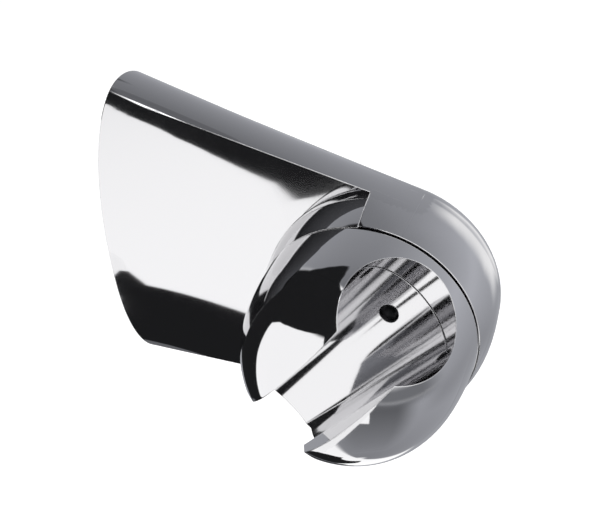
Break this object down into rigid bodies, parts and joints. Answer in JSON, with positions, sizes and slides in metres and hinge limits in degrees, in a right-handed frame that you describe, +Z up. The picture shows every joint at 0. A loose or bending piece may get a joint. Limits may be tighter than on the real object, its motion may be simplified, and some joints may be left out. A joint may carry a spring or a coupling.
{
  "type": "hand shower holder",
  "caption": "Chrome wall-mounted hand shower holder: an oval hollow arm carries a domed turning disc with a tapered, slotted seat for the handset.",
  "frame": {"origin": "middle of the oval wall end, on the wall", "axes": "+Y into the wall, +Z up, the arm points along -Y, the turning disc is on the -X side"},
  "size_m": [0.0614, 0.0858, 0.0735],
  "materials": {
    "chrome_arm": "polished",
    "chrome_disc": "polished",
    "chrome_liner": "polished",
    "bracket_plastic": "moulded",
    "black_steel": "black oxide",
    "bush_plastic": "moulded",
    "ring_plastic": "moulded",
    "brass": "turned",
    "steel": "plated"
  },
  "bodies": {
    "arm": {"arm_body": "chrome_arm", "pivot_cap": "chrome_arm", "wall_bracket": "bracket_plastic", "bracket_grub_screw": "steel", "bearing_bush": "bush_plastic", "friction_ring": "ring_plastic"},
    "holder": {"holder_disc": "chrome_disc", "cone_liner": "chrome_liner", "liner_set_screw": "black_steel", "thread_insert": "brass", "pivot_bolt": "steel", "thrust_washer": "steel", "disc_springs": "steel"}
  },
  "joints": [
    {"name": "holder_tilt", "type": "hinge", "parent": "arm", "child": "holder", "pos_m": [-0.0151, -0.0597, -0.0112], "axis": [1, 0, 0], "continuous": true}
  ]
}
